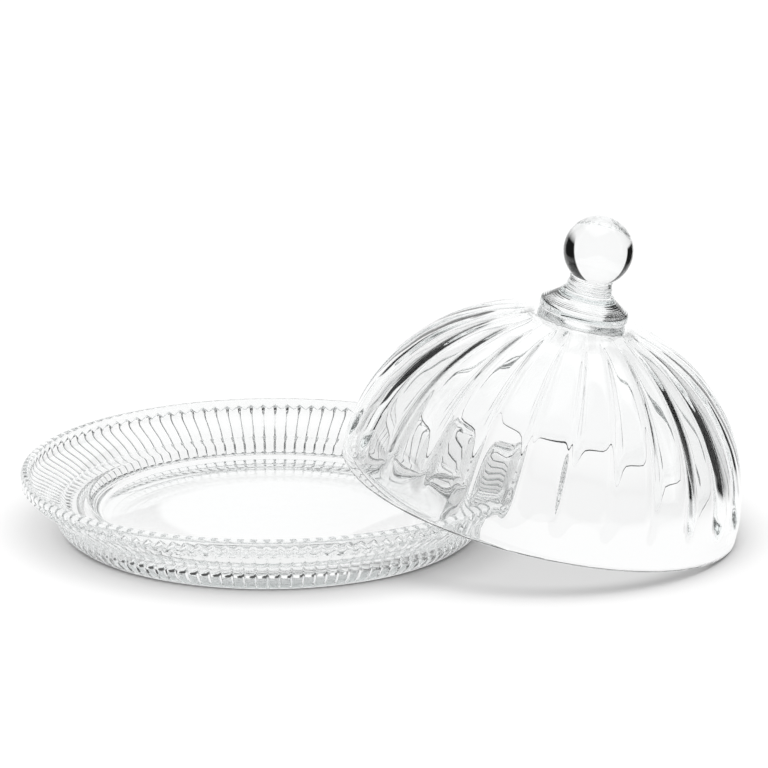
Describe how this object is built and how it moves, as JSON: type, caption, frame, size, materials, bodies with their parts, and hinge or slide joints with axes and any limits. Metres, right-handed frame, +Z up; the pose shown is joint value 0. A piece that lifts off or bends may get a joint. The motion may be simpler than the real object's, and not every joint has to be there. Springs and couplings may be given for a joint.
{
  "type": "cheese dome",
  "caption": "Clear glass cheese dome: a round plate with a ribbed flared rim, and a fluted bowl-shaped cover with a ball knob that lifts off.",
  "frame": {"origin": "centre of the plate's foot ring, on the table", "axes": "+Z up; +X from the plate's centre towards the parked cover; the plane y = 0 is a plane of symmetry"},
  "size_m": [0.4314, 0.3, 0.1965],
  "materials": {
    "plate_glass": "clear pressed glass, fire-polished",
    "cover_glass": "clear mouth-blown glass with optic flutes",
    "collar_glass": "clear solid glass",
    "knob_glass": "clear solid glass, polished"
  },
  "bodies": {
    "plate": {"plate": "plate_glass"},
    "cover": {"dome_shell": "cover_glass", "knob_collar": "collar_glass", "knob": "knob_glass"}
  },
  "joints": [
    {"name": "cover_lift", "type": "slide", "parent": "plate", "child": "cover", "axis": [0, 0, 1], "range_m": [0, 0.2]}
  ]
}
